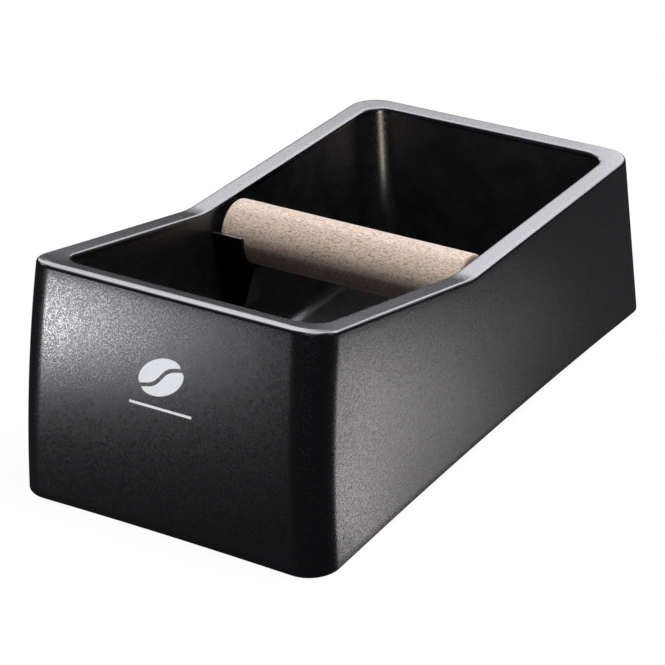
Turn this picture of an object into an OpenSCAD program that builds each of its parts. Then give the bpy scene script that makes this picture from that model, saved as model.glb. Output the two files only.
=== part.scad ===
// Espresso knock box: a double-walled plastic box with a tall front, a beech bar that lies in two
// open saddles, and a steel base plate on four rubber feet.
// X is the width, Y the length with the tall front at -Y, and Z the height. The origin is on the
// table, under the middle of the body's lower edge.

/* [Body] */
// Width of the body at its lower edge
body_w = 150; // [144:1:160]
// Length of the body at its lower edge
body_l = 293; // [284:1:310]
// Height of the rim's front edge above the table
front_h = 105.3; // [95:0.1:115]
// Height of the level rear part of the rim above the table
rear_h = 81.1; // [79:0.1:90]
// Where the sloping part of the rim meets the level part
bend_y = -19; // [-50:1:-19]
// Length over which the bend in the rim is rounded
bend_l = 10; // [4:1:10]
// Inward lean of the side walls, in degrees
side_draft = 2.2; // [1:0.1:3]
// Inward lean of the front wall, in degrees
front_draft = 5.2; // [3:0.1:7]
// Inward lean of the rear wall, in degrees
rear_draft = 8.2; // [5:0.1:10]
// How far the front wall bulges at half its height
front_bulge = 2.7; // [0:0.1:4]
// Radius of the upright outer corners
corner_r = 14; // [12:1:18]
// How far the lower edge rises at the middle of each side
side_arch = 2.9; // [0:0.1:4]
// How far the lower edge rises at the middle of the front and the rear
end_arch = 0.9; // [0:0.1:2]
// Thickness of the outer wall
wall_t = 2.4; // [2:0.1:3]

/* [Rim] */
// Width of the rim along the sides
rim_side_w = 9.7; // [8:0.1:11]
// Width of the rim at the front
rim_front_w = 12.1; // [10:0.1:14]
// Width of the rim at the rear
rim_rear_w = 9.9; // [8:0.1:12]
// Thickness of the rim
rim_t = 2.6; // [2.2:0.1:3.5]
// Radius of the rim's outer edge
rim_outer_round = 2; // [1:0.1:2.2]
// Radius of the rim's inner edge
rim_inner_round = 1.6; // [1:0.1:2]

/* [Tub] */
// Thickness of the tub's wall
tub_wall_t = 2; // [1.6:0.1:2.5]
// Thickness of the tub's floor
tub_floor_t = 1.8; // [1.5:0.1:2.5]
// Inward lean of the tub's side walls towards the floor, in degrees
tub_side_draft = 4.7; // [3:0.1:5]
// Inward lean of the tub's front and rear walls towards the floor, in degrees
tub_end_draft = 5; // [3:0.1:6]
// Radius of the tub's upright corners at the mouth
mouth_r = 11; // [9:1:13]
// Radius of the tub's upright corners at the floor
floor_r = 14; // [12:1:18]
// Radius between the tub's wall and its floor
floor_fillet = 6; // [3:0.5:8]
// Width of the flange round the tub's mouth
flange_w = 3.5; // [2:0.1:4]

/* [Bar] */
// Diameter of the bar
bar_d = 27.2; // [25:0.1:28]
// Length of the bar
bar_l = 118.6; // [114:0.1:118.6]
// Chamfer at the bar's ends
bar_chamfer = 1.4; // [0.5:0.1:3]
// Distance of the bar's axis behind the middle of the body
bar_y = 1.7; // [1.5:0.1:10]
// Height of the bar's axis above the table
bar_z = 66.8; // [66:0.1:70]

/* [Saddles] */
// Distance from the middle of the body to a saddle's inner end
saddle_x = 46.5; // [42:0.5:50]
// Thickness of a saddle's cradle
saddle_t = 2; // [1.6:0.1:2.2]
// Gap between the bar and a saddle
saddle_gap = 0.3; // [0.3:0.05:0.6]
// Height of a saddle's two horns above the bar's axis
horn_h = 3.6; // [1:0.1:5]
// Width of the rib below a saddle's cradle
rib_w = 12; // [10:0.5:16]
// Height of the rib below the cradle
rib_h = 20; // [18:0.5:24]
// Depth of the rib at its foot
rib_foot = 11; // [10:0.5:13]

/* [Base] */
// Height of the body's lower edge above the table at its corners
skirt_gap = 1; // [0.6:0.1:1.4]
// Thickness of the steel base plate
plate_t = 1.5; // [1.5:0.1:2]
// Gap between the base plate and the outer wall
plate_gap = 0.5; // [0.3:0.1:1]
// Diameter of a foot
foot_d = 20; // [14:1:22]
// Thickness of a foot
foot_t = 1.8; // [1.8:0.1:2.5]
// Rounding of a foot's lower edge
foot_round = 0.6; // [0.3:0.1:0.8]
// Distance from a foot's centre to the middle of the body, across it
foot_x = 55; // [45:1:56]
// Distance from a foot's centre to the middle of the body, along it
foot_y = 126; // [110:1:127]

/* [Fasteners] */
// Diameter of the screws
screw_d = 3; // [2.5:0.1:3]
// Diameter of a countersunk head
flat_head_d = 5.6; // [5.4:0.1:5.8]
// Length of a base screw
base_screw_l = 12; // [8:1:15]
// Diameter of a pan head
pan_head_d = 5.4; // [4.8:0.1:6]
// Height of a pan head
pan_head_h = 2; // [1.6:0.1:2.4]
// Length of a saddle screw's shank
saddle_screw_l = 7; // [6:0.5:7.5]
// Diameter of a screw boss
boss_d = 8; // [7:0.5:9]
// Height of a screw boss
boss_h = 18; // [16:1:24]
// Distance between the first and the last base screw of a row
screw_row_l = 262; // [230:1:262]

/* [Hidden] */
$fn = 64;

GRAPHITE = [0.20, 0.20, 0.21];
NEAR_BLACK = [0.07, 0.07, 0.07];
BEECH = [0.84, 0.76, 0.66];
BLACK_PAINT = [0.13, 0.13, 0.13];
ZINC = [0.62, 0.63, 0.65];
RUBBER = [0.10, 0.10, 0.10];

// Flats on each quarter turn of an upright corner and of a rounded edge
corner_steps = 8;
edge_steps = 4;
// Slack that keeps a cut past the face it opens
past = 1;
// Radial slack of a screw in its hole
screw_slack = 0.05;
// Step by which the tub's wall stands back behind the rim's inner face
mouth_step = 0.3;
// Depth by which a boss runs into the outer wall
boss_bite = 0.1;
// Distances of a saddle's two screws below the top of its rib
saddle_screw_drops = [5, 14];
// How much narrower a pan head is at its crown than at its seat
pan_crown_step = 1.2;
// Driver recess: its length and its depth as shares of the head's diameter and height, and the
// width of an arm as a share of its length
recess_length = 0.58;
recess_depth = 0.7;
recess_arm = 0.25;

front_wall_h = front_h - skirt_gap;
rear_wall_h = rear_h - skirt_gap;
front_rim_y = -body_l / 2 + front_wall_h * tan(front_draft);
rim_slope = (front_h - rear_h) / (bend_y - front_rim_y);

plate_z = foot_t;
tub_base_z = plate_z + plate_t;
floor_z = tub_base_z + tub_floor_t;

// The mouth's half width over the level part of the rim, and the tub's outline at its floor
mouth_half_w = half_w(rear_h) - rim_side_w;
floor_half_w = mouth_half_w - (rear_h - floor_z) * tan(tub_side_draft);
floor_front_y = front_rim_y + rim_front_w + (front_h - floor_z) * tan(tub_end_draft);
floor_rear_y = rear_y(1) - rim_rear_w - (rear_h - floor_z) * tan(tub_end_draft);

cradle_r = bar_d / 2 + saddle_gap;
cradle_outer_r = cradle_r + saddle_t;
rib_top_z = bar_z - cradle_outer_r;
rib_foot_z = rib_top_z - rib_h;
saddle_screw_zs = [for (drop = saddle_screw_drops) rib_top_z - drop];

// Screw places in the base: a row of three along each side wall, so that every boss runs into it
boss_inset = wall_t + boss_d / 2 - boss_bite;
base_screw_spots = [
    for (side = [-1, 1], place = [-1, 0, 1]) [side * (body_w / 2 - boss_inset), place * screw_row_l / 2]
];

// ---- The plan outline -------------------------------------------------------------------------
// A mark is one place on a rounded rectangle: [which side its corner centre is on in X and in Y,
// its outward direction in X and in Y, its own X and Y where it isn't on a corner].
side_stops = concat(
    [for (share = [-0.65, -0.4]) share * body_l / 2],
    [for (step = [-1:0.5:1]) bend_y + step * bend_l / 2],
    [for (share = [0.15, 0.4, 0.65]) share * body_l / 2]);
end_stops = [for (share = [-0.5, 0, 0.5]) share * body_w / 2];

function corner_marks(side_x, side_y, start) = [
    for (i = [0:corner_steps])
        let (a = start + 90 * i / corner_steps) [side_x, side_y, cos(a), sin(a), 0, 0]
];
function backwards(list) = [for (i = [len(list) - 1:-1:0]) list[i]];

marks = concat(
    corner_marks(1, -1, -90),
    [for (y = side_stops) [1, 0, 1, 0, 0, y]],
    corner_marks(1, 1, 0),
    [for (x = backwards(end_stops)) [0, 1, 0, 1, x, 0]],
    corner_marks(-1, 1, 90),
    [for (y = backwards(side_stops)) [-1, 0, -1, 0, 0, y]],
    corner_marks(-1, -1, 180),
    [for (x = end_stops) [0, -1, 0, -1, x, 0]]);

// X and Y of a mark on a rounded rectangle, moved outwards by grow
function mark_x(m, half, r, grow) = m[4] + m[0] * (half - r) + (r + grow) * m[2];
function mark_y(m, front, rear, r, grow) =
    m[5] + (m[1] < 0 ? front + r : m[1] > 0 ? rear - r : 0) + (r + grow) * m[3];

// ---- Heights and leans ------------------------------------------------------------------------
// 0 behind the bend, rising in front of it, with the bend rounded
function ramp(d) =
    d <= -bend_l / 2 ? 0 : d >= bend_l / 2 ? d : pow(d + bend_l / 2, 2) / (2 * bend_l);
// Height of the rim's top face at a place along the body
function rim_z(y) = rear_h + rim_slope * ramp(bend_y - y);
// Height of the body's lower edge, which rises between the corners
function lower_z(x, y) = skirt_gap + side_arch * (1 - pow(2 * y / body_l, 2))
    + end_arch * (1 - pow(2 * x / body_w, 2));
// Half width of the outer wall at a height
function half_w(z) = body_w / 2 - (z - skirt_gap) * tan(side_draft);
// Front and rear walls at a share t of the wall's height
function front_y(t) = -body_l / 2 + t * front_wall_h * tan(front_draft) - 4 * front_bulge * t * (1 - t);
function rear_y(t) = body_l / 2 - t * rear_wall_h * tan(rear_draft);

// ---- Rings of points --------------------------------------------------------------------------
// A point of the outer wall at a share t of its height, moved inwards by inset
function wall_point(m, t, inset = 0) =
    let (
        y = mark_y(m, front_y(t), rear_y(t), corner_r, -inset),
        low = lower_z(mark_x(m, body_w / 2, corner_r, 0), mark_y(m, front_y(0), rear_y(0), corner_r, 0)),
        z = low + t * (rim_z(y) - low)
    ) [mark_x(m, half_w(z), corner_r, -inset), y, z];

// A point of the rim's inner edge, moved outwards by grow
function mouth_point(m, grow = 0) =
    let (
        y = mark_y(m, front_rim_y + rim_front_w, rear_y(1) - rim_rear_w, mouth_r, grow),
        z = rim_z(y)
    ) [mark_x(m, half_w(z) - rim_side_w, mouth_r, grow), y, z];

// A point of the rim's rounded edge at corner, where a runs from 0 on the wall to 90 on the top face
function rounded(corner, towards, r, a) =
    let (along = (towards - corner) / norm(towards - corner))
        corner + along * r * (1 - cos(a)) - [0, 0, r * (1 - sin(a))];

// A point of the tub's floor edge, moved outwards by grow
function floor_point(m, grow) = [
    mark_x(m, floor_half_w, floor_r, grow),
    mark_y(m, floor_front_y, floor_rear_y, floor_r, grow),
    floor_z
];
// A point of the tub's mouth, moved outwards by grow
function tub_mouth_point(m, grow) = mouth_point(m, grow + mouth_step) - [0, 0, rim_t];
// A point of the tub's wall at height z, moved outwards by grow
function tub_point(m, grow, z) =
    let (
        low = floor_point(m, grow),
        high = tub_mouth_point(m, grow)
    ) low + (high - low) * (z - low[2]) / (high[2] - low[2]);
// A point of the rounding of radius r between the tub's wall, moved outwards by grow, and a flat at
// height z: a runs from 0, where the wall meets the rounding, to 90 on the flat
function fillet_point(m, grow, z, r, a) =
    tub_point(m, grow, z + r * (1 - sin(a))) - [m[2], m[3], 0] * r * (1 - cos(a));

function down(points, drop) = [for (p = points) p - [0, 0, drop]];

// ---- Skins over rings -------------------------------------------------------------------------
// Joins each ring to the next. A closed skin also joins the last ring to the first, and an open one
// has a flat cap on each end.
module skin(rings, closed) {
    per_ring = len(rings[0]);
    bands = closed ? len(rings) : len(rings) - 1;
    corner = function(ring, i) (ring % len(rings)) * per_ring + i % per_ring;
    sides = [
        for (ring = [0:bands - 1], i = [0:per_ring - 1])
            each [
                [corner(ring, i), corner(ring + 1, i), corner(ring + 1, i + 1)],
                [corner(ring, i), corner(ring + 1, i + 1), corner(ring, i + 1)]
            ]
    ];
    // The caps are fans of triangles from the middle of the first corner
    apex = corner_steps / 2;
    last = len(rings) - 1;
    caps = closed ? [] : [
        for (i = [apex + 1:apex + per_ring - 2])
            each [
                [corner(0, apex), corner(0, i), corner(0, i + 1)],
                [corner(last, apex), corner(last, i + 1), corner(last, i)]
            ]
    ];
    polyhedron(points = [for (ring = rings) each ring], faces = concat(sides, caps), convexity = 6);
}

// ---- Fasteners --------------------------------------------------------------------------------
// A cross-shaped driver recess in a head whose outer face is at z = 0 and which is above it
module cross_recess(head_d, head_h) {
    length = head_d * recess_length;
    arm = length * recess_arm;
    for (turn = [0, 90])
        rotate([0, 0, turn])
            translate([-length / 2, -arm / 2, -past])
                cube([length, arm, head_h * recess_depth + past]);
}

// A countersunk screw whose flat face is at z = 0 and whose shank points up
module flat_screw(length) {
    head_h = (flat_head_d - screw_d) / 2;
    difference() {
        union() {
            cylinder(h = head_h, d1 = flat_head_d, d2 = screw_d);
            cylinder(h = length, d = screw_d);
        }
        cross_recess(flat_head_d, head_h);
    }
}

// A pan-head screw that seats at z = 0, with its shank pointing up
module pan_screw(length) {
    difference() {
        union() {
            translate([0, 0, -pan_head_h])
                cylinder(h = pan_head_h, d1 = pan_head_d - pan_crown_step, d2 = pan_head_d);
            cylinder(h = length, d = screw_d);
        }
        translate([0, 0, -pan_head_h])
            cross_recess(pan_head_d, pan_head_h);
    }
}

// Puts its children on the left side wall of the tub, with +Z pointing into the tub, at a height
module on_side_wall(z) {
    x = mouth_half_w + mouth_step - (rear_h - rim_t - z) * side_rise;
    translate([-x, bar_y, z])
        rotate([0, 90 - atan(side_rise), 0])
            children();
}
// Outward step of the tub's side wall for each millimetre of height, behind the bend
side_rise = (mouth_half_w + mouth_step - floor_half_w) / (rear_h - rim_t - floor_z);

// Draws its children on both sides of the body
module both_sides() {
    for (side = [0, 1])
        mirror([side, 0, 0])
            children();
}

// ---- Sub-parts --------------------------------------------------------------------------------
// The outer wall and the rim, with the screw bosses inside its lower edge
module outer_shell() {
    outside = [for (t = [0, 0.15, 0.32, 0.5, 0.68, 0.85]) [for (m = marks) wall_point(m, t)]];
    outer_edge = [
        for (i = [0:edge_steps])
            [for (m = marks)
                rounded(wall_point(m, 1), mouth_point(m), rim_outer_round, 90 * i / edge_steps)]
    ];
    inner_edge = [
        for (i = [edge_steps:-1:0])
            [for (m = marks)
                rounded(mouth_point(m), wall_point(m, 1), rim_inner_round, 90 * i / edge_steps)]
    ];
    under_rim = [
        down([for (m = marks) mouth_point(m)], rim_t),
        down([for (m = marks) wall_point(m, 1, wall_t)], rim_t)
    ];
    inside = [for (t = [0.68, 0.32, 0]) [for (m = marks) wall_point(m, t, wall_t)]];
    color(GRAPHITE)
        difference() {
            union() {
                skin(concat(outside, outer_edge, inner_edge, under_rim, inside), closed = true);
                for (spot = base_screw_spots)
                    translate([spot[0], spot[1], tub_base_z])
                        cylinder(h = boss_h, d = boss_d);
            }
            for (spot = base_screw_spots)
                translate([spot[0], spot[1], tub_base_z - past])
                    cylinder(h = boss_h, d = screw_d + 2 * screw_slack);
        }
}

// The tub that catches the coffee pucks, clamped between the rim and the base plate
module inner_tub() {
    outside = [
        for (i = [edge_steps:-1:0])
            [for (m = marks)
                fillet_point(m, tub_wall_t, tub_base_z, floor_fillet + tub_floor_t, 90 * i / edge_steps)]
    ];
    flange_edge = [for (m = marks) tub_mouth_point(m, tub_wall_t + flange_w)];
    under_flange = [
        [for (m = marks) tub_point(m, tub_wall_t, tub_mouth_point(m, tub_wall_t)[2] - tub_wall_t)],
        down(flange_edge, tub_wall_t)
    ];
    flange_top = [flange_edge, [for (m = marks) tub_mouth_point(m, 0)]];
    inside = [
        for (i = [0:edge_steps])
            [for (m = marks) fillet_point(m, 0, floor_z, floor_fillet, 90 * i / edge_steps)]
    ];
    color(NEAR_BLACK)
        difference() {
            skin(concat(outside, under_flange, flange_top, inside), closed = false);
            both_sides()
                for (z = saddle_screw_zs)
                    on_side_wall(z)
                        translate([0, 0, -tub_wall_t - past])
                            cylinder(h = tub_wall_t + 2 * past, d = screw_d + 2 * screw_slack);
        }
}

// The steel plate that closes the underside and weighs the box down
module base_plate() {
    half = half_w(tub_base_z) - wall_t - plate_gap;
    front = front_y(tub_base_z / front_h) + wall_t + plate_gap;
    rear = rear_y(tub_base_z / rear_h) - wall_t - plate_gap;
    r = corner_r - wall_t - plate_gap;
    color(BLACK_PAINT)
        difference() {
            translate([0, 0, plate_z])
                linear_extrude(plate_t)
                    union() {
                        translate([-half + r, front])
                            square([2 * (half - r), rear - front]);
                        translate([-half, front + r])
                            square([2 * half, rear - front - 2 * r]);
                        for (x = [-half + r, half - r], y = [front + r, rear - r])
                            translate([x, y])
                                circle(r);
                    }
            for (spot = base_screw_spots)
                translate([spot[0], spot[1], plate_z]) {
                    translate([0, 0, -past])
                        cylinder(h = plate_t + 2 * past, r = screw_d / 2 + screw_slack);
                    translate([0, 0, -screw_slack])
                        cylinder(h = (flat_head_d - screw_d) / 2 + screw_slack,
                            d1 = flat_head_d + 2 * screw_slack, d2 = screw_d);
                }
        }
}

// The beech bar that the coffee handle is knocked against
module knock_bar() {
    r = bar_d / 2;
    color(BEECH)
        translate([-bar_l / 2, bar_y, bar_z])
            rotate([90, 0, 90])
                rotate_extrude()
                    polygon([
                        [0, 0], [r - bar_chamfer, 0], [r, bar_chamfer],
                        [r, bar_l - bar_chamfer], [r - bar_chamfer, bar_l], [0, bar_l]
                    ]);
}

// One open cradle with a rib below it, for the left side wall
module saddle() {
    wall_x = mouth_half_w + mouth_step + past;
    reach = wall_x - saddle_x;
    difference() {
        union() {
            // The cradle: a half ring with two upright horns
            translate([-wall_x, bar_y, bar_z])
                rotate([90, 0, 90])
                    linear_extrude(reach)
                        difference() {
                            union() {
                                circle(cradle_outer_r);
                                translate([-cradle_outer_r, 0])
                                    square([2 * cradle_outer_r, horn_h]);
                            }
                            circle(cradle_r);
                            translate([-cradle_r, 0])
                                square([2 * cradle_r, cradle_outer_r + past]);
                            translate([-cradle_outer_r - past, horn_h])
                                square([2 * (cradle_outer_r + past), cradle_outer_r]);
                        }
            // The rib, deeper at the top than at its foot
            translate([-wall_x, bar_y + rib_w / 2, 0])
                rotate([90, 0, 0])
                    linear_extrude(rib_w)
                        polygon([
                            [0, rib_foot_z], [rib_foot, rib_foot_z],
                            [reach, rib_top_z + saddle_t / 2], [0, rib_top_z + saddle_t / 2]
                        ]);
        }
        // The tub's wall takes away what would reach past its face
        on_side_wall(bar_z)
            translate([-bar_z, -body_l / 2, -body_w])
                cube([2 * bar_z, body_l, body_w]);
        for (z = saddle_screw_zs)
            on_side_wall(z)
                translate([0, 0, -past])
                    cylinder(h = saddle_screw_l - tub_wall_t + past, d = screw_d + 2 * screw_slack);
    }
}

module left_saddle() {
    color(NEAR_BLACK)
        saddle();
}

module right_saddle() {
    color(NEAR_BLACK)
        mirror([1, 0, 0])
            saddle();
}

// The pan-head screws that hold the saddles, from behind the tub's side walls
module saddle_screws() {
    color(ZINC)
        both_sides()
            for (z = saddle_screw_zs)
                on_side_wall(z)
                    translate([0, 0, -tub_wall_t])
                        pan_screw(saddle_screw_l - screw_slack);
}

// The countersunk screws that hold the base plate to the shell's bosses
module base_screws() {
    color(ZINC)
        for (spot = base_screw_spots)
            translate([spot[0], spot[1], plate_z])
                flat_screw(base_screw_l);
}

// A flat rubber foot with a rounded lower edge, stuck under the base plate
module foot(side_x, side_y) {
    r = foot_d / 2;
    rounding = [
        for (a = [-90:30:0]) [r - foot_round + foot_round * cos(a), foot_round + foot_round * sin(a)]
    ];
    color(RUBBER)
        translate([side_x * foot_x, side_y * foot_y, 0])
            rotate_extrude()
                polygon(concat([[0, 0]], rounding, [[r, foot_t], [0, foot_t]]));
}

module front_left_foot() {
    foot(-1, -1);
}

module front_right_foot() {
    foot(1, -1);
}

module rear_left_foot() {
    foot(-1, 1);
}

module rear_right_foot() {
    foot(1, 1);
}

outer_shell();
inner_tub();
base_plate();
knock_bar();
left_saddle();
right_saddle();
saddle_screws();
base_screws();
front_left_foot();
front_right_foot();
rear_left_foot();
rear_right_foot();
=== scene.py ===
"""The looks of an espresso knock box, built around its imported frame."""
import math

import bmesh
import bpy
import numpy as np
from mathutils import Matrix, Vector


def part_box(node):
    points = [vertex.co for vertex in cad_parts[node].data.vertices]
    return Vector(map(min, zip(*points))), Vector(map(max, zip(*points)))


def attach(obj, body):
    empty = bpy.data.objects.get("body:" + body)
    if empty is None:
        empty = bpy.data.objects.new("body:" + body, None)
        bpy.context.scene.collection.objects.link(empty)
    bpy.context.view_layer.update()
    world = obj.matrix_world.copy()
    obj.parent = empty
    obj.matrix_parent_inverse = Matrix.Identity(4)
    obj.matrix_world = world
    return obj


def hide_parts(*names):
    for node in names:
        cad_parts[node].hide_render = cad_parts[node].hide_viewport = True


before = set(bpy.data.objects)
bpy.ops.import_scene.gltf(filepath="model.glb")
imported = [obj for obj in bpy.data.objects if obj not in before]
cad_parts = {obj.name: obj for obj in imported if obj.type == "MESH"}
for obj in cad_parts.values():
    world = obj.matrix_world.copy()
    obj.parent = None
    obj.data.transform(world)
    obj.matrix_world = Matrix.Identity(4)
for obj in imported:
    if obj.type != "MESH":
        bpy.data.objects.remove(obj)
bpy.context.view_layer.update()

MM = 0.001

# ---- The object's dimensions, in millimetres, as in the CAD -------------------------------------
BODY_W, BODY_L = 150.0, 293.0
FRONT_H, REAR_H = 105.3, 81.1
BEND_Y, BEND_L = -19.0, 10.0
FRONT_BULGE = 2.7
CORNER_R = 14.0
SIDE_ARCH, END_ARCH = 2.9, 0.9
WALL_T = 2.4
RIM_SIDE_W, RIM_FRONT_W, RIM_REAR_W = 9.7, 12.1, 9.9
RIM_T = 2.6
RIM_INNER_R = 1.3
TUB_WALL_T, TUB_FLOOR_T = 2.0, 1.8
MOUTH_R, FLOOR_R, FLOOR_FILLET = 11.0, 14.0, 6.0
MOUTH_STEP = 0.3
FLANGE_W = 3.5
BAR_D, BAR_L, BAR_EDGE = 27.2, 118.6, 1.4
BAR_Y, BAR_Z = 1.7, 66.8
SADDLE_X, SADDLE_T, SADDLE_GAP = 46.5, 2.0, 0.3
HORN_H, RIB_W, RIB_H, RIB_FOOT = 3.6, 12.0, 20.0, 11.0
SKIRT_GAP = 1.0
FOOT_T, PLATE_T = 1.8, 1.5
BOSS_D, BOSS_H, SCREW_D, SCREW_ROW_L = 8.0, 18.0, 3.1, 262.0
SIDE_DRAFT, FRONT_DRAFT, REAR_DRAFT, TUB_SIDE_DRAFT, TUB_END_DRAFT = (
    math.tan(math.radians(a)) for a in (2.2, 5.2, 8.2, 4.7, 5.0))

FRONT_WALL_H = FRONT_H - SKIRT_GAP
REAR_WALL_H = REAR_H - SKIRT_GAP
FRONT_RIM_Y = -BODY_L / 2 + FRONT_WALL_H * FRONT_DRAFT
REAR_RIM_Y = BODY_L / 2 - REAR_WALL_H * REAR_DRAFT
RIM_SLOPE = (FRONT_H - REAR_H) / (BEND_Y - FRONT_RIM_Y)
TUB_BASE_Z = FOOT_T + PLATE_T
FLOOR_Z = TUB_BASE_Z + TUB_FLOOR_T


def half_w(z):
    """Half width of the outer wall at a height."""
    return BODY_W / 2 - (z - SKIRT_GAP) * SIDE_DRAFT


MOUTH_HALF_W = half_w(REAR_H) - RIM_SIDE_W
FLOOR_HALF_W = MOUTH_HALF_W - (REAR_H - FLOOR_Z) * TUB_SIDE_DRAFT
FLOOR_FRONT_Y = FRONT_RIM_Y + RIM_FRONT_W + (FRONT_H - FLOOR_Z) * TUB_END_DRAFT
FLOOR_REAR_Y = REAR_RIM_Y - RIM_REAR_W - (REAR_H - FLOOR_Z) * TUB_END_DRAFT
SIDE_RISE = (MOUTH_HALF_W + MOUTH_STEP - FLOOR_HALF_W) / (REAR_H - RIM_T - FLOOR_Z)


def rim_z(y):
    """Height of the rim's top face at a place along the body."""
    d = BEND_Y - y
    bend = np.clip(d + BEND_L / 2, 0, BEND_L) ** 2 / (2 * BEND_L)
    return REAR_H + RIM_SLOPE * np.where(d >= BEND_L / 2, d, bend)


def lower_z(x, y):
    """Height of the body's lower edge, which rises between the corners."""
    return (SKIRT_GAP + SIDE_ARCH * (1 - (2 * y / BODY_L) ** 2)
            + END_ARCH * (1 - (2 * x / BODY_W) ** 2))


def front_y(t):
    """Place of the front wall at a share t of its height."""
    return -BODY_L / 2 + t * FRONT_WALL_H * FRONT_DRAFT - 4 * FRONT_BULGE * t * (1 - t)


def rear_y(t):
    """Place of the rear wall at a share t of its height."""
    return BODY_L / 2 - t * REAR_WALL_H * REAR_DRAFT


# ---- The plan outline ---------------------------------------------------------------------------
CORNER_STEPS = 24
# Denser through the bend of the rim
SIDE_STOPS = np.concatenate([
    np.linspace(-96, -28, 10), np.linspace(-24.5, -13.5, 12), np.linspace(-8, 98, 14)])
END_STOPS = np.linspace(-40, 40, 11)


def outline_marks():
    """Rows of [corner side in X, in Y, outward direction in X, in Y, own X, own Y]."""
    rows = []

    def corner(sx, sy, start):
        for i in range(CORNER_STEPS + 1):
            a = math.radians(start + 90 * i / CORNER_STEPS)
            rows.append((sx, sy, math.cos(a), math.sin(a), 0, 0))

    corner(1, -1, -90)
    rows.extend((1, 0, 1, 0, 0, y) for y in SIDE_STOPS)
    corner(1, 1, 0)
    rows.extend((0, 1, 0, 1, x, 0) for x in END_STOPS[::-1])
    corner(-1, 1, 90)
    rows.extend((-1, 0, -1, 0, 0, y) for y in SIDE_STOPS[::-1])
    corner(-1, -1, 180)
    rows.extend((0, -1, 0, -1, x, 0) for x in END_STOPS)
    return np.array(rows, float)


MARKS = outline_marks()
SX, SY, NX, NY, X0, Y0 = MARKS.T


def mark_x(half, r, grow=0.0):
    return X0 + SX * (half - r) + (r + grow) * NX


def mark_y(front, rear, r, grow=0.0):
    return Y0 + np.where(SY < 0, front + r, np.where(SY > 0, rear - r, 0)) + (r + grow) * NY


def ring(x, y, z):
    return np.stack(np.broadcast_arrays(x, y, z), axis=1).astype(float)


def wall_ring(t, inset=0.0):
    """The outer wall at a share t of its height, which may differ from mark to mark."""
    y = mark_y(front_y(t), rear_y(t), CORNER_R, -inset)
    low = lower_z(mark_x(BODY_W / 2, CORNER_R), mark_y(front_y(0), rear_y(0), CORNER_R))
    z = low + t * (rim_z(y) - low)
    return ring(mark_x(half_w(z), CORNER_R, -inset), y, z)


def mouth_ring(grow=0.0):
    """The rim's inner edge."""
    y = mark_y(FRONT_RIM_Y + RIM_FRONT_W, REAR_RIM_Y - RIM_REAR_W, MOUTH_R, grow)
    z = rim_z(y)
    return ring(mark_x(half_w(z) - RIM_SIDE_W, MOUTH_R, grow), y, z)


def floor_ring(grow=0.0):
    return ring(mark_x(FLOOR_HALF_W, FLOOR_R, grow),
                mark_y(FLOOR_FRONT_Y, FLOOR_REAR_Y, FLOOR_R, grow), FLOOR_Z)


def tub_mouth_ring(grow=0.0):
    return mouth_ring(grow + MOUTH_STEP) - [0, 0, RIM_T]


def tub_ring(grow, z):
    """The tub's wall at a height, which may differ from mark to mark."""
    low, high = floor_ring(grow), tub_mouth_ring(grow)
    share = (z - low[:, 2]) / (high[:, 2] - low[:, 2])
    return low + (high - low) * share[:, None]


def down(points, drop):
    return points - [0, 0, drop]


def unit(vectors):
    return vectors / np.linalg.norm(vectors, axis=-1, keepdims=True)


def rounded(corner, first, second, r, steps):
    """Rings of a rounding of radius r between two directions that leave a corner."""
    a, b = unit(first), unit(second)
    cosine = np.clip(np.sum(a * b, axis=1, keepdims=True), -1, 1)
    half = np.arccos(cosine) / 2
    middle = corner + unit(a + b) * r / np.sin(half)
    start = corner + a * r / np.tan(half) - middle
    end = corner + b * r / np.tan(half) - middle
    turn = np.pi - 2 * half
    rings = []
    for i in range(steps + 1):
        s = i / steps
        rings.append(middle + (start * np.sin((1 - s) * turn) + end * np.sin(s * turn)) / np.sin(turn))
    return rings


def between(a, b, steps):
    """The rings strictly between two rings."""
    return [a + (b - a) * i / steps for i in range(1, steps)]


# ---- Mesh helpers -------------------------------------------------------------------------------
def make_object(name, points, faces, materials, slots=None, sharp=40):
    """A smooth-shaded object from points in millimetres. slots gives each face's material."""
    mesh = bpy.data.meshes.new(name)
    mesh.from_pydata([tuple(p) for p in np.asarray(points) * MM], [], [tuple(f) for f in faces])
    for m in materials:
        mesh.materials.append(m)
    if slots is not None:
        mesh.polygons.foreach_set("material_index", slots)
    mesh.shade_smooth()
    mesh.set_sharp_from_angle(angle=math.radians(sharp))
    mesh.update()
    ob = bpy.data.objects.new(name, mesh)
    bpy.context.scene.collection.objects.link(ob)
    return ob


def skin(rings, closed):
    """Quads that join each ring to the next. Returns points, faces and each face's band."""
    per_ring = len(rings[0])
    bands = len(rings) if closed else len(rings) - 1
    faces, band_of = [], []
    for b in range(bands):
        low, high = b * per_ring, ((b + 1) % len(rings)) * per_ring
        for i in range(per_ring):
            j = (i + 1) % per_ring
            faces.append((low + i, low + j, high + j, high + i))
            band_of.append(b)
    return np.concatenate(rings), faces, band_of


def lathe(profile, segments):
    """A closed solid turned about X from (along, radius) points that start and end on the axis."""
    points, faces = [], []
    inner = profile[1:-1]
    for along, radius in inner:
        for i in range(segments):
            a = 2 * math.pi * i / segments
            points.append((along, radius * math.cos(a), radius * math.sin(a)))
    for k in range(len(inner) - 1):
        for i in range(segments):
            j = (i + 1) % segments
            faces.append((k * segments + i, k * segments + j,
                          (k + 1) * segments + j, (k + 1) * segments + i))
    first, last = len(points), len(points) + 1
    points += [(profile[0][0], 0, 0), (profile[-1][0], 0, 0)]
    top = (len(inner) - 1) * segments
    for i in range(segments):
        j = (i + 1) % segments
        faces.append((first, j, i))
        faces.append((last, top + i, top + j))
    return np.array(points), faces


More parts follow.
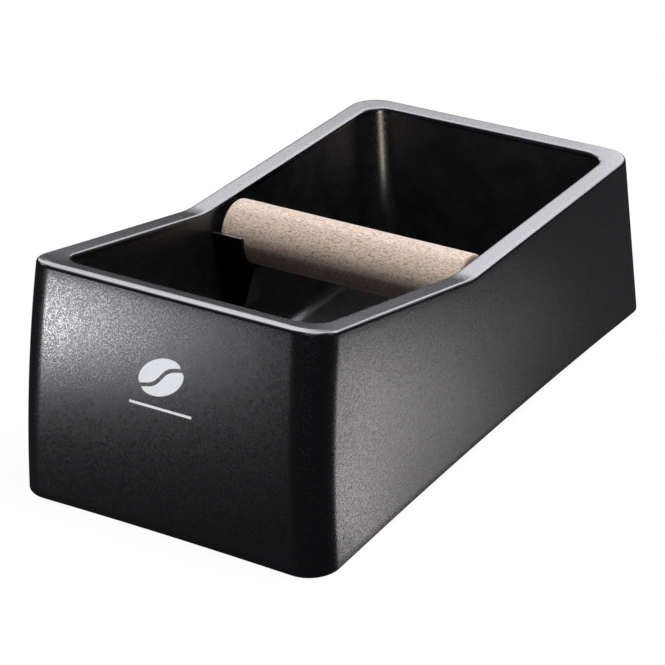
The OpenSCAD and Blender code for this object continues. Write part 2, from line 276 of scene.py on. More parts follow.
def arc_points(along, radius, r, start, end, steps):
    """Points of a rounding in an (along, radius) profile, between two angles in degrees."""
    angles = np.radians(np.linspace(start, end, steps + 1))
    return [(along + r * math.cos(a), radius + r * math.sin(a)) for a in angles]


def outward(ob):
    """Makes every face of a closed mesh point outwards."""
    bm = bmesh.new()
    bm.from_mesh(ob.data)
    bmesh.ops.recalc_face_normals(bm, faces=bm.faces)
    bm.to_mesh(ob.data)
    bm.free()
    return ob


# ---- Materials ----------------------------------------------------------------------------------
class Surface:
    """A Principled material with a few calls for its procedural nodes. Lengths are in metres."""

    def __init__(self, name, **inputs):
        self.material = bpy.data.materials.new(name)
        self.material.use_nodes = True
        self.tree = self.material.node_tree
        self.shader = self.tree.nodes["Principled BSDF"]
        for key, value in inputs.items():
            self.shader.inputs[key.replace("_", " ")].default_value = value
        coordinates = self.tree.nodes.new("ShaderNodeTexCoord")
        self.place = coordinates.outputs["Object"]
        turned = self.node("ShaderNodeMapping", Vector=self.place)
        turned.inputs["Rotation"].default_value = (0.62, 0.93, 0.41)
        self.skewed = turned.outputs["Vector"]

    def link(self, source, target):
        self.tree.links.new(source, target)

    def node(self, kind, settings=None, **inputs):
        made = self.tree.nodes.new(kind)
        for key, value in (settings or {}).items():
            setattr(made, key, value)
        for key, value in inputs.items():
            socket = made.inputs[int(key[1:]) if key[0] == "i" and key[1:].isdigit()
                                 else key.replace("_", " ")]
            if isinstance(value, bpy.types.NodeSocket):
                self.link(value, socket)
            else:
                socket.default_value = value
        return made

    def stretched(self, x, y, z, shift=0.0):
        """Object coordinates multiplied along each axis, for a grain that runs one way."""
        made = self.node("ShaderNodeMapping", Vector=self.place)
        made.inputs["Scale"].default_value = (x, y, z)
        made.inputs["Location"].default_value = (shift, shift, shift)
        return made.outputs["Vector"]

    def noise(self, scale, detail=2.0, roughness=0.5, at=None):
        made = self.node("ShaderNodeTexNoise", Vector=at or self.skewed, Scale=scale,
                         Detail=detail, Roughness=roughness)
        return made.outputs["Fac"]

    def cells(self, scale):
        """Distance to the middle of the nearest of many small random cells."""
        made = self.node("ShaderNodeTexVoronoi", Vector=self.skewed, Scale=scale)
        return made.outputs["Distance"]

    def speckle(self, scale):
        """A random value for each cell, which reads as a sandy grain."""
        made = self.node("ShaderNodeTexVoronoi", Vector=self.skewed, Scale=scale)
        parts = self.node("ShaderNodeSeparateColor", Color=made.outputs["Color"])
        return parts.outputs["Red"]

    def maths(self, operation, a, b=0.0, c=0.0):
        made = self.node("ShaderNodeMath", {"operation": operation}, i0=a, i1=b, i2=c)
        return made.outputs[0]

    def spread(self, value, low, high, to_low=0.0, to_high=1.0):
        made = self.node("ShaderNodeMapRange", {"interpolation_type": "SMOOTHSTEP"}, Value=value,
                         From_Min=low, From_Max=high, To_Min=to_low, To_Max=to_high)
        return made.outputs["Result"]

    def blend(self, share, a, b):
        made = self.node("ShaderNodeMix", {"data_type": "RGBA"})
        for socket, value in zip((made.inputs[0], made.inputs[6], made.inputs[7]), (share, a, b)):
            if isinstance(value, bpy.types.NodeSocket):
                self.link(value, socket)
            elif socket.type == "RGBA":
                socket.default_value = (*value, 1.0)
            else:
                socket.default_value = value
        return made.outputs[2]

    def colour(self, source):
        self.link(source, self.shader.inputs["Base Color"])

    def rough(self, source):
        self.link(source, self.shader.inputs["Roughness"])

    def bump(self, *layers):
        """Each layer is (height, depth in metres). They add up."""
        normal = None
        for height, depth in layers:
            made = self.node("ShaderNodeBump", Height=height, Distance=depth, Strength=1.0)
            if normal is not None:
                self.link(normal, made.inputs["Normal"])
            normal = made.outputs["Normal"]
        self.link(normal, self.shader.inputs["Normal"])


def grained_plastic():
    """Graphite plastic with the pebbled grain of an etched mould, for the outer walls."""
    s = Surface("grained_graphite_plastic", Specular_IOR_Level=0.95, IOR=1.5)
    pebbles = s.cells(1900)
    fine = s.noise(3200, 2.0, 0.6)
    specks = s.speckle(2000)
    s.colour(s.blend(specks, (0.0014, 0.0014, 0.0017), (0.0048, 0.0047, 0.0052)))
    s.rough(s.spread(specks, 0.0, 1.0, 0.34, 0.21))
    s.bump((pebbles, 0.000020), (fine, 0.000013))
    return s.material


def satin_plastic():
    """The same plastic where the mould is only satin, for the rim and the rounded edges."""
    s = Surface("satin_graphite_plastic", Specular_IOR_Level=0.95, IOR=1.5)
    fine = s.noise(2600, 2.0, 0.6)
    soft = s.noise(260, 2.0, 0.5)
    s.colour(s.blend(s.spread(soft, 0.3, 0.7), (0.0025, 0.0025, 0.0034), (0.0045, 0.0045, 0.0062)))
    s.rough(s.spread(fine, 0.25, 0.75, 0.18, 0.26))
    s.bump((soft, 0.00002), (fine, 0.00001))
    return s.material


def tub_plastic():
    """Near-black plastic of the tub, with a fine satin grain."""
    s = Surface("black_tub_plastic", Specular_IOR_Level=0.8, IOR=1.5)
    fine = s.noise(2100, 3.0, 0.6)
    soft = s.noise(120, 2.0, 0.5)
    s.colour(s.blend(s.spread(soft, 0.3, 0.7), (0.0036, 0.0036, 0.0038), (0.0072, 0.007, 0.0072)))
    s.rough(s.spread(fine, 0.3, 0.7, 0.23, 0.32))
    s.bump((fine, 0.000012))
    return s.material


def saddle_plastic():
    """Matt black plastic of the two saddles, moulded with a dull, sandy skin."""
    s = Surface("black_saddle_plastic", Specular_IOR_Level=0.3, IOR=1.5)
    sand = s.noise(1600, 3.0, 0.6)
    soft = s.noise(140, 2.0, 0.5)
    s.colour(s.blend(s.spread(soft, 0.3, 0.7), (0.0016, 0.0016, 0.0017), (0.003, 0.003, 0.003)))
    s.rough(s.spread(sand, 0.3, 0.7, 0.5, 0.62))
    s.bump((sand, 0.00002))
    return s.material


# Middle of the growth rings, behind and above the object's origin, and how fast they repeat
PITH_Y, PITH_Z = 0.034, 0.012
RING_PITCH, RING_WANDER = 2700.0, 9.0
# How finely the flecks repeat along the bar, on its side and on its sawn ends
SIDE_RUN, END_RUN = 620, 3000


def beech(name, end_grain):
    """Oiled beech: soft growth rings and short dark flecks that run along the bar."""
    s = Surface(name, Specular_IOR_Level=0.3, IOR=1.45)
    parts = s.node("ShaderNodeSeparateXYZ", Vector=s.place)
    wander = s.noise(1.0, 2.0, 0.5, at=s.stretched(6, 40, 40, 11.3))
    across = s.maths("SUBTRACT", parts.outputs["Y"], PITH_Y)
    up = s.maths("SUBTRACT", parts.outputs["Z"], PITH_Z)
    radius = s.maths("SQRT", s.maths("ADD", s.maths("MULTIPLY", across, across),
                                     s.maths("MULTIPLY", up, up)))
    phase = s.maths("MULTIPLY_ADD", radius, RING_PITCH, s.maths("MULTIPLY", wander, RING_WANDER))
    rings = s.spread(s.maths("SINE", phase), -1.0, 1.0)
    run = END_RUN if end_grain else SIDE_RUN
    flecks = s.spread(s.noise(1.0, 1.0, 0.5, at=s.stretched(run, 2500, 2500, 13.7)), 0.34, 0.50)
    pores = s.spread(s.noise(1.0, 2.0, 0.6, at=s.stretched(run * 2.4, 5200, 5200, 31.9)), 0.3, 0.6)
    glints = s.noise(1.0, 1.0, 0.5, at=s.stretched(run * 1.2, 2900, 2900, 51.3))
    streaks = s.noise(1.0, 2.0, 0.5, at=s.stretched(45, 520, 520, 7.1))
    base = s.blend(s.maths("MULTIPLY", rings, 0.35), (0.86, 0.68, 0.51), (0.70, 0.54, 0.40))
    base = s.blend(s.spread(streaks, 0.35, 0.65, 0.0, 0.5), base, (0.90, 0.75, 0.60))
    base = s.blend(s.spread(flecks, 0.0, 1.0, 0.78, 0.0), base, (0.30, 0.20, 0.14))
    base = s.blend(s.spread(pores, 0.0, 1.0, 0.62, 0.0), base, (0.30, 0.21, 0.15))
    base = s.blend(s.spread(glints, 0.54, 0.66, 0.0, 0.7), base, (0.95, 0.82, 0.69))
    if end_grain:
        base = s.blend(0.45, base, (0.36, 0.26, 0.175))
    s.colour(base)
    s.rough(s.spread(flecks, 0.0, 1.0, 0.66, 0.52))
    s.bump((flecks, 0.00005), (pores, 0.00003), (rings, 0.00002))
    return s.material


def powder_coat():
    """Black powder coat on the steel base plate, with its orange-peel surface."""
    s = Surface("black_powder_coat", Specular_IOR_Level=0.5)
    peel = s.noise(900, 2.0, 0.5)
    specks = s.noise(3000, 2.0, 0.6)
    s.colour(s.blend(s.spread(peel, 0.35, 0.65), (0.012, 0.012, 0.013), (0.02, 0.02, 0.021)))
    s.rough(s.spread(specks, 0.3, 0.7, 0.45, 0.6))
    s.bump((peel, 0.00006), (specks, 0.00001))
    return s.material


def screw_steel():
    """Zinc-plated steel with fine turning marks."""
    s = Surface("plated_steel", Metallic=1.0)
    marks = s.noise(1.0, 2.0, 0.6, at=s.stretched(9000, 9000, 700))
    stain = s.noise(900, 2.0, 0.6)
    s.colour(s.blend(s.spread(stain, 0.3, 0.7), (0.50, 0.50, 0.49), (0.64, 0.64, 0.65)))
    s.rough(s.spread(marks, 0.3, 0.7, 0.24, 0.42))
    s.bump((marks, 0.000008))
    return s.material


def foot_rubber():
    """Matt black rubber with a bloom that lightens it a little in patches."""
    s = Surface("black_rubber", Specular_IOR_Level=0.25)
    bloom = s.noise(260, 3.0, 0.6)
    fine = s.noise(3600, 2.0, 0.6)
    s.colour(s.blend(s.spread(bloom, 0.35, 0.7), (0.012, 0.012, 0.012), (0.024, 0.024, 0.023)))
    s.rough(s.spread(fine, 0.3, 0.7, 0.72, 0.88))
    s.bump((fine, 0.00002), (bloom, 0.00003))
    return s.material


def printing_ink():
    """Pale pad-printed ink that lets a little of the grain through."""
    s = Surface("pale_ink", Specular_IOR_Level=0.3)
    worn = s.noise(2200, 3.0, 0.6)
    s.colour(s.blend(s.spread(worn, 0.36, 0.62), (0.80, 0.80, 0.81), (0.92, 0.92, 0.93)))
    s.rough(s.spread(worn, 0.3, 0.7, 0.5, 0.62))
    s.bump((worn, 0.00003))
    return s.material


GRAINED = grained_plastic()
SATIN = satin_plastic()
TUB_BLACK = tub_plastic()
SADDLE_BLACK = saddle_plastic()
BEECH_SIDE = beech("oiled_beech", False)
BEECH_END = beech("oiled_beech_end_grain", True)


# ---- Pieces -------------------------------------------------------------------------------------
WALL_LEVELS = 26
ROUND_STEPS = 10
LIP_R = 0.5
# The band along the front rim: its width, its rise over the slope, and its drop at the outer edge
BAND_W, BAND_RISE, BAND_DROP = 4.4, 0.5, 0.15
FRONT_EDGE_R, SIDE_EDGE_R = 1.5, 1.7
# Rings across the lip, the rim's inner rounding, the front band, its knee and the rest of the rim
LIP_STEPS, INNER_STEPS, BAND_STEPS, KNEE_STEPS, RIM_STEPS = 4, 8, 3, 6, 4
# Share of the wall's height over which its direction at an edge is taken
EDGE_SHARE = 0.02
TUB_STEPS, TUB_OUTSIDE_STEPS = 14, 8
SADDLE_EASE, PLATE_EASE = 0.35, 0.25


def rounded_knee(knee, outwards, inwards):
    """Rings of the soft bend where the front band meets the sloping rim."""
    reach = 0.6
    start, end = knee + unit(outwards) * reach, knee + unit(inwards) * reach
    shares = [i / KNEE_STEPS for i in range(KNEE_STEPS + 1)]
    return [(1 - s) ** 2 * start + 2 * s * (1 - s) * knee + s ** 2 * end for s in shares]


def outer_shell():
    """The outer wall and the rolled rim, as one closed skin."""
    foot_line, top_line = wall_ring(0.0), wall_ring(1.0)
    mouth = mouth_ring()
    inner_foot = wall_ring(0.0, WALL_T)
    up_wall = wall_ring(EDGE_SHARE) - foot_line
    down_wall = wall_ring(1 - EDGE_SHARE) - top_line
    lip = rounded(foot_line, inner_foot - foot_line, up_wall, LIP_R, LIP_STEPS)
    frontal = (np.clip(-NY, 0, 1) ** 2)[:, None]
    across = unit(mouth - top_line)
    crest = top_line + unit(down_wall) * BAND_DROP * frontal
    knee = top_line + across * BAND_W + frontal * [0, 0, BAND_RISE]
    edge_r = SIDE_EDGE_R + (FRONT_EDGE_R - SIDE_EDGE_R) * frontal
    edge = rounded(crest, down_wall, knee - crest, edge_r, ROUND_STEPS)
    height = top_line[:, 2] - foot_line[:, 2]
    low = (lip[-1][:, 2] - foot_line[:, 2]) / height
    high = (edge[0][:, 2] - foot_line[:, 2]) / height
    wall = [wall_ring(low + (high - low) * i / WALL_LEVELS) for i in range(1, WALL_LEVELS)]
    drop = np.tile([0.0, 0.0, -1.0], (len(mouth), 1))
    inner = rounded(mouth, knee - mouth, drop, RIM_INNER_R, INNER_STEPS)
    bend = rounded_knee(knee, crest - knee, mouth - knee)
    rim = between(edge[-1], bend[0], BAND_STEPS) + bend + between(bend[-1], inner[0], RIM_STEPS)
    under = [down(mouth, RIM_T), down(mouth_ring(MOUTH_STEP * 3), RIM_T),
             down(wall_ring(1.0, WALL_T), RIM_T)]
    inside = [wall_ring(t, WALL_T) for t in (0.8, 0.6, 0.4, 0.2, 0.04)]
    rings = lip + wall + edge + rim + inner + under + inside + [inner_foot]
    points, faces, bands = skin(rings, closed=True)
    first_satin = len(lip) + len(wall)
    last_satin = first_satin + len(edge) + len(rim) + len(inner)
    slots = [1 if first_satin <= b <= last_satin or b < len(lip) - 1 else 0 for b in bands]
    ob = make_object("moulded_shell", points, faces, [GRAINED, SATIN], slots, sharp=50)
    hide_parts("outer_shell")
    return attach(outward(ob), "box")


def screw_bosses():
    """The six screw bosses inside the shell's lower edge, each with its pilot hole."""
    overlap, rim_ease, hole_ease, segments = 0.1, 0.6, 0.3, 40
    inset = WALL_T + BOSS_D / 2 - overlap
    points, faces = [], []
    outer, hole, top = BOSS_D / 2, SCREW_D / 2, BOSS_H
    profile = [(outer, 0.0), (outer, top - rim_ease), (outer - rim_ease, top), (hole + hole_ease, top),
               (hole, top - hole_ease), (hole, 0.0)]
    for side in (-1, 1):
        for place in (-1, 0, 1):
            start = len(points)
            x, y = side * (BODY_W / 2 - inset), place * SCREW_ROW_L / 2
            for radius, z in profile:
                for i in range(segments):
                    a = 2 * math.pi * i / segments
                    points.append((x + radius * math.cos(a), y + radius * math.sin(a), TUB_BASE_Z + z))
            for k in range(len(profile)):
                low, high = start + k * segments, start + (k + 1) % len(profile) * segments
                for i in range(segments):
                    j = (i + 1) % segments
                    faces.append((low + i, low + j, high + j, high + i))
    ob = make_object("screw_bosses", points, faces, [SATIN])
    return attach(outward(ob), "box")


def inner_tub():
    """The open tub, with its flange under the rim."""
    def level(grow, share):
        low, high = floor_ring(grow), tub_mouth_ring(grow)
        return low + (high - low) * share

    def floor_edge(grow, z, r):
        corner = tub_ring(grow, np.full(len(MARKS), z))
        inward = np.stack([-NX, -NY, np.zeros(len(MARKS))], axis=1)
        up = tub_ring(grow, np.full(len(MARKS), z + 10.0)) - corner
        return rounded(corner, inward, up, r, ROUND_STEPS)

    def shrunk(points, by):
        return points - np.stack([NX, NY, np.zeros(len(MARKS))], axis=1) * by

    inside_edge = floor_edge(0.0, FLOOR_Z, FLOOR_FILLET)
    mouth = tub_mouth_ring()
    top = inside_edge[-1]
    inside = [top + (mouth - top) * i / TUB_STEPS for i in range(1, TUB_STEPS + 1)]
    flange = tub_mouth_ring(TUB_WALL_T + FLANGE_W)
    outside_edge = floor_edge(TUB_WALL_T, TUB_BASE_Z, FLOOR_FILLET + TUB_FLOOR_T)
    shoulder = level(TUB_WALL_T, 1.0) - [0, 0, TUB_WALL_T]
    outside = between(outside_edge[-1], shoulder, TUB_OUTSIDE_STEPS)
    rings = ([shrunk(inside_edge[0], 5.0), shrunk(inside_edge[0], 1.2)] + inside_edge + inside
             + [flange, down(flange, TUB_WALL_T), shoulder] + outside[::-1] + outside_edge[::-1]
             + [shrunk(outside_edge[0], 3.0)])
    points, faces, _ = skin(rings, closed=False)
    per_ring = len(MARKS)
    faces.append(tuple(range(per_ring))[::-1])
    faces.append(tuple(range((len(rings) - 1) * per_ring, len(rings) * per_ring)))
    ob = make_object("puck_tub", points, faces, [TUB_BLACK], sharp=50)
    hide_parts("inner_tub")
    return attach(outward(ob), "box")


def knock_bar():
    """The turned bar, with its ends eased all round."""
    r, length, edge = BAR_D / 2, BAR_L, BAR_EDGE
    shares = (0.25, 0.5, 0.75)
    profile = [(0, 0)] + [(0, r * share) for share in shares] + [(0, r - edge * 1.6)]
    profile += arc_points(edge, r - edge, edge, 180, 90, 8)
    profile += [(x, r) for x in np.linspace(6, length - 6, 24)]
    profile += arc_points(length - edge, r - edge, edge, 90, 0, 8)
    profile += [(length, r - edge * 1.6)] + [(length, r * share) for share in shares[::-1]]
    profile += [(length, 0)]
    points, faces = lathe(profile, 128)
    points = points + [-length / 2, BAR_Y, BAR_Z]
    flat = length / 2 - 0.35 * edge
    slots = [1 if min(abs(points[i][0]) for i in f) > flat else 0 for f in faces]
    ob = make_object("beech_bar", points, faces, [BEECH_SIDE, BEECH_END], slots, sharp=50)
    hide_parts("knock_bar")
    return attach(outward(ob), "bar")


def saddle(name, side, node):
    """One cradle with two horns and a rib below it, cut to the tub's wall."""
    inner = BAR_D / 2 + SADDLE_GAP
    outer = inner + SADDLE_T

    def wall_x(z):
        return MOUTH_HALF_W + MOUTH_STEP - (REAR_H - RIM_T - z) * SIDE_RISE

    tip, arc_count, tip_count = SADDLE_T / 2, 49, 9
    section = [(outer * math.cos(a), outer * math.sin(a))
               for a in np.radians(np.linspace(180, 360, arc_count))]
    section += [(inner + tip + tip * math.cos(a), HORN_H - tip + tip * math.sin(a))
                for a in np.radians(np.linspace(0, 180, tip_count))]
    section += [(inner * math.cos(a), inner * math.sin(a))
                for a in np.radians(np.linspace(360, 180, arc_count))]
    section += [(-inner - tip + tip * math.cos(a), HORN_H - tip + tip * math.sin(a))
                for a in np.radians(np.linspace(0, 180, tip_count))]
    count = len(section)
    points = [(side * SADDLE_X, BAR_Y + y, BAR_Z + z) for y, z in section]
    points += [(side * wall_x(BAR_Z + z), BAR_Y + y, BAR_Z + z) for y, z in section]
    faces = [tuple(range(count))[::-1], tuple(range(count, 2 * count))]
    faces += [(i, (i + 1) % count, count + (i + 1) % count, count + i) for i in range(count)]
    # The rounded tips of the horns are glossier than the faces
    slots = [0, 0] + [1 if i % (count // 2) >= arc_count else 0 for i in range(count)]
    cradle = outward(make_object(name, points, faces, [SADDLE_BLACK, SATIN], slots))

    rib_top, rib_foot = BAR_Z - outer + SADDLE_T / 2, BAR_Z - outer - RIB_H
    reach = MOUTH_HALF_W + MOUTH_STEP + 1.0 - RIB_FOOT
    outline = [(wall_x(rib_foot), rib_foot), (reach, rib_foot), (SADDLE_X, rib_top),
               (wall_x(rib_top), rib_top)]
    points = [(side * x, BAR_Y + s * RIB_W / 2, z) for s in (-1, 1) for x, z in outline]
    faces = [(0, 1, 2, 3), (4, 5, 6, 7)] + [(i, (i + 1) % 4, 4 + (i + 1) % 4, 4 + i) for i in range(4)]
    rib = outward(make_object(name + "_rib", points, faces, [SADDLE_BLACK]))

    join = cradle.modifiers.new("join", "BOOLEAN")
    join.operation, join.solver, join.object = "UNION", "EXACT", rib
    graph = bpy.context.evaluated_depsgraph_get()
    joined = bpy.data.meshes.new_from_object(cradle.evaluated_get(graph))
    cradle.modifiers.clear()
    cradle.data = joined
    joined.name = name
    bpy.data.objects.remove(rib)
    ease = cradle.modifiers.new("ease", "BEVEL")
    ease.width, ease.segments, ease.limit_method = SADDLE_EASE * MM, 3, "ANGLE"
    ease.angle_limit = math.radians(40)
    ease.harden_normals = False
    joined.shade_smooth()
    joined.set_sharp_from_angle(angle=math.radians(60))
    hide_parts(node)
    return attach(cradle, "box")


def foot(name, node, rubber):
    """A flat rubber foot with an eased lower edge and a shallow ring in its sole."""
    low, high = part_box(node)
    centre = (low + high) / 2 / MM
    r = (high.x - low.x) / 2 / MM
    t = (high.z - low.z) / MM
    ease, top_ease, recess = 0.6, 0.15, 0.25
    profile = [(recess, 0), (recess, r * 0.4), (recess, r * 0.5), (0, r * 0.54), (0, r * 0.8)]
    profile += arc_points(ease, r - ease, ease, 180, 90, 6)
    profile += [(t - top_ease, r), (t, r - top_ease), (t, 0)]
    turned, faces = lathe(profile, 72)
    points = np.stack([centre.x + turned[:, 1], centre.y + turned[:, 2], low.z / MM + turned[:, 0]],
                      axis=1)
    ob = make_object(name, points, faces, [rubber], sharp=35)
    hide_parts(node)
    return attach(outward(ob), "box")


# Place of the printed mark on the front wall: its middle across and up, and its tilt
MARK_X, MARK_Z, MARK_TILT = -1.0, 72.0, 28.0
BEAN_L, BEAN_W, BEAN_GROOVE = 23.0, 15.0, 1.7
LINE_DROP, LINE_L, LINE_T, LINE_STOPS = 13.5, 30.0, 1.1, 25
INK_PROUD, INK_SUNK = 0.05, 0.12


def front_face(x, z):
    """Depth of the front wall's outer face behind a place across and up it."""
    t = np.linspace(0, 1, 400)
    low = lower_z(x, front_y(0))
    return np.interp(z, low + t * (rim_z(front_y(t)) - low), front_y(t))


def printed_mark():
    """A generic coffee bean over a plain line, as thin ink that follows the front wall."""
    turn = math.radians(MARK_TILT)
    plates = []

    def bean_half(sign):
        steps = np.linspace(-1, 1, 41)
        length, width = BEAN_L / 2, BEAN_W / 2
        groove = 0.20 * width * np.sin(steps * math.pi)
        outer = width * np.sqrt(np.clip(1 - steps ** 2, 0, 1))
        inner = groove * np.sqrt(np.clip(1 - steps ** 2, 0, 1)) + sign * BEAN_GROOVE / 2
        keep = outer > np.abs(inner) + 0.05
        along = steps[keep] * length
        return np.stack([along, inner[keep]], 1), np.stack([along, sign * outer[keep]], 1)

    for sign in (-1, 1):
        inner, outer = bean_half(sign)
        grid = [inner + (outer - inner) * i / 6 for i in range(7)]
        grid = [np.stack([g[:, 0] * math.cos(turn) - g[:, 1] * math.sin(turn),
                          g[:, 0] * math.sin(turn) + g[:, 1] * math.cos(turn)], 1) for g in grid]
        plates.append(grid)
    along = np.linspace(-LINE_L / 2, LINE_L / 2, LINE_STOPS)
    plates.append([np.stack([along, np.full(LINE_STOPS, LINE_T * (i / 2 - 0.5) - LINE_DROP)], 1)
                   for i in range(3)])

    points, faces = [], []
    for grid in plates:
        rows, cols = len(grid), len(grid[0])
        for proud in (INK_PROUD, -INK_SUNK):
            base = len(points)
            for row in grid:
                for u, v in row:
                    x, z = MARK_X + u, MARK_Z + v
                    points.append((x, float(front_face(x, z)) - proud, z))
            for i in range(rows - 1):
                for j in range(cols - 1):
                    a = base + i * cols + j
                    faces.append((a, a + 1, a + cols + 1, a + cols))
        top, bottom = base - rows * cols, base
        border = ([(0, j) for j in range(cols)] + [(i, cols - 1) for i in range(1, rows)]
                  + [(rows - 1, j) for j in range(cols - 2, -1, -1)]
                  + [(i, 0) for i in range(rows - 2, 0, -1)])
        for (i, j), (k, m) in zip(border, border[1:] + border[:1]):
            a, b = i * cols + j, k * cols + m
            faces.append((top + a, top + b, bottom + b, bottom + a))
    ob = make_object("printed_bean_mark", points, faces, [printing_ink()], sharp=50)
    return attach(outward(ob), "box")


def finish_cad_nodes():
    """The base plate and the screws keep their CAD shapes and get finished surfaces."""
    coat, steel = powder_coat(), screw_steel()
    for name, material in (("base_plate", coat), ("base_screws", steel), ("saddle_screws", steel)):
        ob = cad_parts[name]
        ob.data.materials.clear()
        ob.data.materials.append(material)
        if name == "base_plate":
            ease = ob.modifiers.new("ease", "BEVEL")
            ease.width, ease.segments, ease.limit_method = PLATE_EASE * MM, 2, "ANGLE"
            ease.angle_limit = math.radians(60)


outer_shell()
screw_bosses()
inner_tub()
knock_bar()
saddle("left_cradle", -1, "left_saddle")
saddle("right_cradle", 1, "right_saddle")
RUBBER = foot_rubber()
for node in ("front_left_foot", "front_right_foot", "rear_left_foot", "rear_right_foot"):
    foot("rubber_" + node, node, RUBBER)
printed_mark()
finish_cad_nodes()


# ---- Camera -------------------------------------------------------------------------------------
# Place, angles and lens come from a perspective fit to the reference view
CAMERA_AT = Vector((0.5851, -0.9609, 0.5957))
AZIMUTH, ELEVATION, ROLL = (math.radians(a) for a in (31.722, 26.683, -0.781))
LENS_MM = 154.72


def make_camera():
    back = Vector((math.sin(AZIMUTH) * math.cos(ELEVATION), -math.cos(AZIMUTH) * math.cos(ELEVATION),
                   math.sin(ELEVATION)))
    right = Vector((math.cos(AZIMUTH), math.sin(AZIMUTH), 0.0))
    up = back.cross(right)
    rolled_right = right * math.cos(ROLL) + up * math.sin(ROLL)
    rolled_up = up * math.cos(ROLL) - right * math.sin(ROLL)
    data = bpy.data.cameras.new("camera")
    data.lens, data.sensor_width, data.clip_start, data.clip_end = LENS_MM, 36.0, 0.05, 30.0
    ob = bpy.data.objects.new("camera", data)
    ob.matrix_world = Matrix.Translation(CAMERA_AT) @ Matrix(
        (rolled_right, rolled_up, back)).transposed().to_4x4()
    bpy.context.scene.collection.objects.link(ob)
    bpy.context.scene.camera = ob


# ---- Studio -------------------------------------------------------------------------------------
# These strengths aren't a hand-made design. Those of the rear bank, the dome, the two mirrored banks
# and the softbox "fill" come from a separate least-squares fit to one reference view. More than half
# of them were changed afterwards. Lengths are in metres, angles in degrees, and strengths are
# radiances.
COOL = (0.95, 0.94, 1.0)
ROSE = (1.0, 0.957, 0.985)
WARM = (1.0, 0.88, 0.76)
BLUE = (0.94, 0.955, 1.0)
WORLD_GLOW = 0.030

AIM = Vector((0.0, 0.0, 0.07))
DOME_R = 1.2
# The rear bank is seen in reflections only: azimuth from +X, elevation and radiance
REAR_BANK_W, REAR_BANK_H = 0.42, 0.24
REAR_BANK = [
    (144, 16, 5.02), (144, 27, 2.95), (122, 16, 1.19), (122, 27, 4.35), (122, 38, 3.55),
    (100, 16, 4.66), (100, 27, 3.86), (100, 38, 6.30), (78, 27, 2.82), (78, 38, 4.31), (58, 27, 3.23)]
# Azimuth, elevation, width, height, radiance, and whether it shades the object
DOME = [
    (137, 50, 0.55, 0.50, 5.60, False), (181, 62, 0.55, 0.55, 1.06, True),
    (100, 60, 0.50, 0.50, 6.50, False), (66, 36, 0.30, 0.24, 8.10, False),
    (180, 30, 0.40, 0.36, 3.28, True), (30, 35, 0.40, 0.36, 1.20, True),
    (300, 40, 0.40, 0.36, 0.80, True), (0, 75, 0.50, 0.50, 3.67, True)]

# Small softboxes in front on the left, which the front wall mirrors: name, x, z and radiance
FRONT_BANK_Y, FRONT_BANK_W, FRONT_BANK_H = -0.62, 0.07, 0.06
FRONT_STEP_X, FRONT_AIM_Y, FRONT_AIM_Z = 0.24, -0.14, 0.08
FRONT_BANK = [("f20", -0.42, -0.055, 42.26), ("f21", -0.42, 0.0, 10.99), ("f31", -0.35, 0.0, 6.24)]

# Small softboxes that the right wall mirrors. They stand below the floor, along the mirrored line of
# sight from the wall, in columns along it and in tiers below its rim.
WALL_X, FIRST_COLUMN_Y, COLUMN_STEP = 0.0735, -0.150, 0.03
MIRRORED_SIGHT, MIRROR_REACH = Vector((0.503, 0.76, -0.41)), 0.26
MIRROR_GAP, MIRROR_W = 0.007, 0.03
# Drop of each tier below the rim's reflection, and its height
TIERS = [(0.025, 0.05), (0.075, 0.05), (0.14, 0.08)]
# Column, tier and radiance
MIRRORED_BANK = [(0, 0, 0.65), (0, 1, 3.90), (1, 0, 3.30), (1, 1, 2.02), (1, 2, 1.44), (3, 0, 1.27),
                 (3, 1, 1.39), (4, 0, 0.59), (5, 1, 0.63), (6, 0, 0.62)]

# A narrow light inside the tub that only makes the glint in its rear left corner
GLINT_SPREAD = 50


def softbox(name, at, faces, width, height, radiance, tint, shades=True, shines=True):
    """A softbox that can be kept out of shading or out of reflections."""
    data = bpy.data.lights.new("softbox_" + name, "AREA")
    data.shape = "RECTANGLE"
    data.size, data.size_y = width, height
    data.energy = radiance * math.pi * width * height
    data.color = tint
    ob = bpy.data.objects.new("softbox_" + name, data)
    ob.location = at
    ob.rotation_euler = (Vector(faces) - Vector(at)).to_track_quat("-Z", "Y").to_euler()
    ob.visible_camera = False
    ob.visible_diffuse, ob.visible_glossy = shades, shines
    bpy.context.scene.collection.objects.link(ob)
    return ob


def on_dome(azimuth, elevation):
    a, e = math.radians(azimuth), math.radians(elevation)
    return AIM + DOME_R * Vector((math.cos(a) * math.cos(e), math.sin(a) * math.cos(e), math.sin(e)))


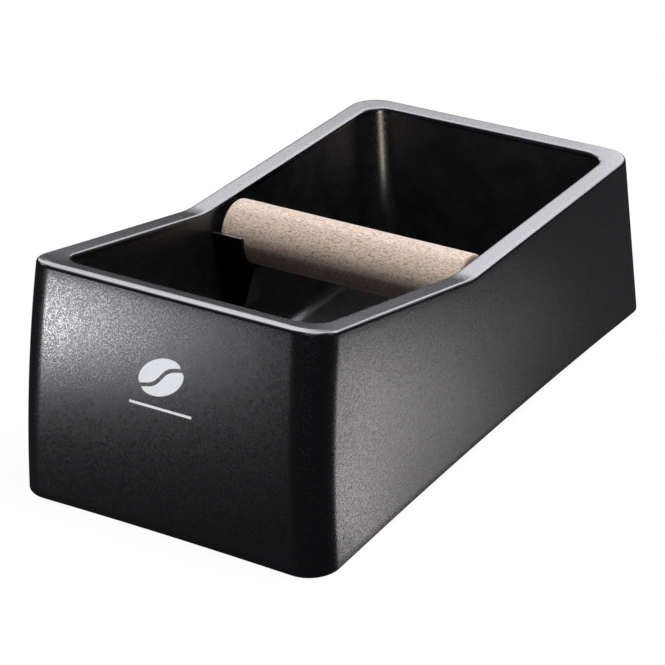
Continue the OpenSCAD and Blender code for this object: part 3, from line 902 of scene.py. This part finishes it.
def make_softboxes():
    """Far ones on a dome, fills, two small ones at the tub, and the two mirrored banks."""
    for azimuth, elevation, radiance in REAR_BANK:
        softbox(f"d{azimuth}_{elevation}", on_dome(azimuth, elevation), AIM, REAR_BANK_W, REAR_BANK_H,
                radiance, COOL, shades=False)
    for azimuth, elevation, width, height, radiance, shades in DOME:
        softbox(f"d{azimuth}_{elevation}", on_dome(azimuth, elevation), AIM, width, height, radiance,
                COOL, shades=shades)
    softbox("fill", (0.441, -0.865, 0.090), AIM, 0.50, 0.30, 12.00, BLUE, shines=False)
    low_aim = (0.0, 0.0, 0.05)
    softbox("left_fill", (-0.95, 0.0, 0.0), low_aim, 0.60, 0.16, 45.00, BLUE, shines=False)
    softbox("rear_fill", (0.0, 1.05, 0.0), low_aim, 0.60, 0.16, 45.00, BLUE, shines=False)
    softbox("overhead", on_dome(0, 75), AIM, 0.50, 0.50, 16.60, COOL, shines=False)
    softbox("tub_wall", (-0.010, 0.045, 0.100), (0.0, 0.140, 0.045), 0.08, 0.04, 4.50, ROSE,
            shines=False)
    glint = softbox("tub_corner", (-0.006, 0.040, 0.058), (-0.058, 0.130, 0.085), 0.020, 0.045, 0.80,
                    WARM, shades=False)
    glint.data.spread = math.radians(GLINT_SPREAD)
    for name, x, z, radiance in FRONT_BANK:
        softbox(name, (x, FRONT_BANK_Y, z), (x + FRONT_STEP_X, FRONT_AIM_Y, FRONT_AIM_Z),
                FRONT_BANK_W, FRONT_BANK_H, radiance, COOL)
    for column, tier, radiance in MIRRORED_BANK:
        y = FIRST_COLUMN_Y + COLUMN_STEP * column
        drop, height = TIERS[tier]
        rim = min(float(rim_z(y / MM)), FRONT_H) * MM
        sight = MIRRORED_SIGHT * MIRROR_REACH
        faces = Vector((WALL_X, y, rim - MIRROR_GAP - drop))
        softbox(f"s{column}{tier}", faces + sight, faces, MIRROR_W, height, radiance, ROSE)
    softbox("far_wall", (0.204, 0.300, -0.057), (0.073, 0.100, 0.050), 0.24, 0.20, 0.08, BLUE)


def make_world():
    """White to the camera, and a dim cool glow on the object."""
    world = bpy.data.worlds.new("studio")
    bpy.context.scene.world = world
    world.use_nodes = True
    tree = world.node_tree
    tree.nodes.clear()
    out = tree.nodes.new("ShaderNodeOutputWorld")
    path = tree.nodes.new("ShaderNodeLightPath")
    mix = tree.nodes.new("ShaderNodeMixShader")
    dim, white = tree.nodes.new("ShaderNodeBackground"), tree.nodes.new("ShaderNodeBackground")
    dim.inputs["Color"].default_value = (0.86, 0.9, 1.0, 1.0)
    dim.inputs["Strength"].default_value = WORLD_GLOW
    tree.links.new(path.outputs["Is Camera Ray"], mix.inputs[0])
    tree.links.new(dim.outputs[0], mix.inputs[1])
    tree.links.new(white.outputs[0], mix.inputs[2])
    white.inputs["Color"].default_value = (1.0, 1.0, 1.0, 1.0)
    tree.links.new(mix.outputs[0], out.inputs[0])


def make_floor():
    """A pale floor that glows to the camera and stays out of the object's light and reflections."""
    mesh = bpy.data.meshes.new("floor")
    reach = 8.0
    mesh.from_pydata([(-reach, -reach, 0), (reach, -reach, 0), (reach, reach, 0), (-reach, reach, 0)],
                     [], [(0, 1, 2, 3)])
    floor = bpy.data.objects.new("floor", mesh)
    bpy.context.scene.collection.objects.link(floor)
    pale = bpy.data.materials.new("pale_floor")
    pale.use_nodes = True
    tree = pale.node_tree
    tree.nodes.clear()
    out = tree.nodes.new("ShaderNodeOutputMaterial")
    add = tree.nodes.new("ShaderNodeAddShader")
    glow, matt = tree.nodes.new("ShaderNodeEmission"), tree.nodes.new("ShaderNodeBsdfDiffuse")
    glow.inputs["Color"].default_value = (1.0, 1.0, 1.0, 1.0)
    glow.inputs["Strength"].default_value = 0.96
    matt.inputs["Color"].default_value = (0.04, 0.04, 0.04, 1.0)
    tree.links.new(glow.outputs[0], add.inputs[0])
    tree.links.new(matt.outputs[0], add.inputs[1])
    tree.links.new(add.outputs[0], out.inputs[0])
    mesh.materials.append(pale)
    floor.visible_diffuse = floor.visible_glossy = floor.visible_shadow = False


make_camera()
make_softboxes()
make_world()
make_floor()
bpy.context.scene.view_settings.view_transform = "Standard"
